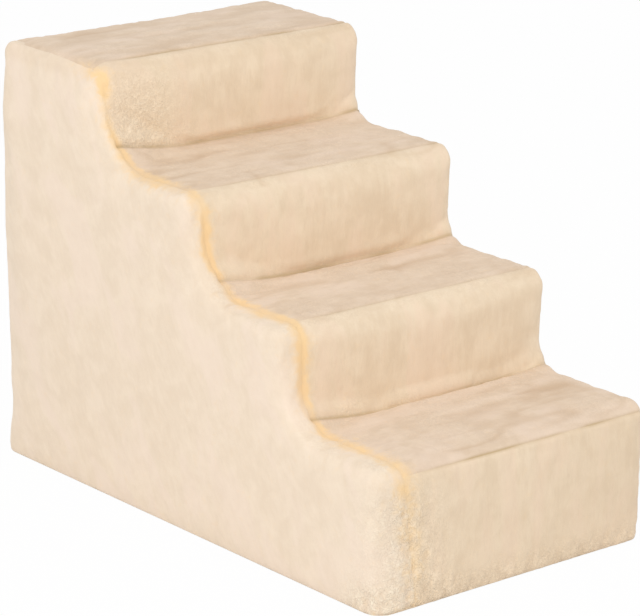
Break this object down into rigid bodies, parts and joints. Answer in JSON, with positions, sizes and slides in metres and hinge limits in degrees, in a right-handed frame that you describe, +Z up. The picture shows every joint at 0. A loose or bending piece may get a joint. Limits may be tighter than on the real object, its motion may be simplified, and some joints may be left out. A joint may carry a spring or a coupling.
{
  "type": "pet stairs",
  "caption": "Free-standing foam pet stairs in a sewn plush cover with rounded nosings, a non-slip base and a zip across the lower back.",
  "frame": {"origin": "centre of the flat base that the stairs stand on", "axes": "+X across the stairs, +Y from the lowest step to the back, +Z up"},
  "size_m": [0.4, 0.7084, 0.522],
  "materials": {
    "side_plush": "matte",
    "riser_plush": "matte",
    "tread_plush": "matte",
    "base_fabric": "matte",
    "foam": "matte",
    "zip_tape": "matte",
    "zip_plastic": "satin",
    "zip_metal": "satin"
  },
  "bodies": {
    "stairs": {"foam_slab_1": "foam", "foam_slab_2": "foam", "foam_slab_3": "foam", "foam_slab_4": "foam", "tread_panel_1": "tread_plush", "tread_panel_2": "tread_plush", "tread_panel_3": "tread_plush", "tread_panel_4": "tread_plush", "riser_panel_1": "riser_plush", "riser_panel_2": "riser_plush", "riser_panel_3": "riser_plush", "riser_panel_4": "riser_plush", "left_side_panel": "side_plush", "right_side_panel": "side_plush", "back_panel": "side_plush", "back_hem_strip": "side_plush", "base_panel": "base_fabric", "zip_tape_upper": "zip_tape", "zip_tape_lower": "zip_tape", "zip_teeth_upper": "zip_plastic", "zip_teeth_lower": "zip_plastic", "zip_top_stops": "zip_plastic", "zip_bottom_stop": "zip_plastic"},
    "slider": {"zip_slider": "zip_metal"},
    "pull": {"zip_pull_tab": "zip_metal"}
  },
  "joints": [
    {"name": "zip_slide", "type": "slide", "parent": "stairs", "child": "slider", "axis": [-1, 0, 0], "range_m": [0, 0.33], "deforming": ["zip_teeth_upper", "zip_teeth_lower"]},
    {"name": "pull_swing", "type": "hinge", "parent": "slider", "child": "pull", "pos_m": [0.165, 0.3545, 0.062], "axis": [0, 0, -1], "range_deg": [0, 175]}
  ]
}
